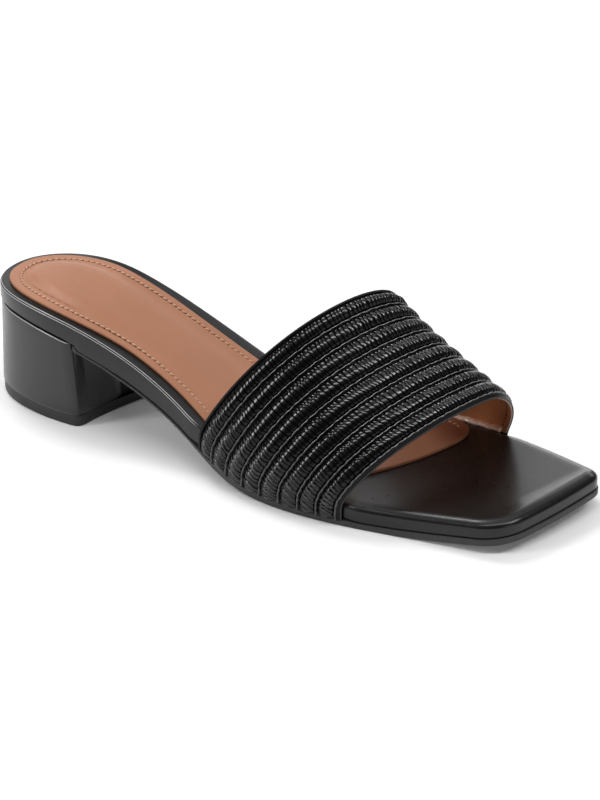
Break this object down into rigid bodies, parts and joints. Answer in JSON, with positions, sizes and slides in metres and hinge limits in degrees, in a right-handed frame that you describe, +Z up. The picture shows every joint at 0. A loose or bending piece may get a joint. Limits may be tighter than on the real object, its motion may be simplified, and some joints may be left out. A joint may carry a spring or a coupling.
{
  "type": "mule sandal",
  "caption": "Right mule sandal with a padded, pleated vamp band, a wrapped footbed with a square toe, a tan leather sock and a low block heel.",
  "frame": {"origin": "on the floor under the middle of the shoe's bounding box", "axes": "+X to the toe, +Y to the inner (big toe) side, +Z up"},
  "size_m": [0.2512, 0.0896, 0.0697],
  "materials": {
    "outsole_rubber": "matte",
    "footbed_leather": "smooth satin",
    "sock_leather": "smooth, unlacquered",
    "heel_leather": "smooth semi-gloss",
    "lift_rubber": "matte",
    "band_leather": "glossy, finely pleated"
  },
  "bodies": {
    "root": {"outsole": "outsole_rubber", "footbed": "footbed_leather", "insole_sock": "sock_leather", "heel_block": "heel_leather", "heel_top_lift": "lift_rubber", "vamp_band": "band_leather"}
  },
  "joints": []
}
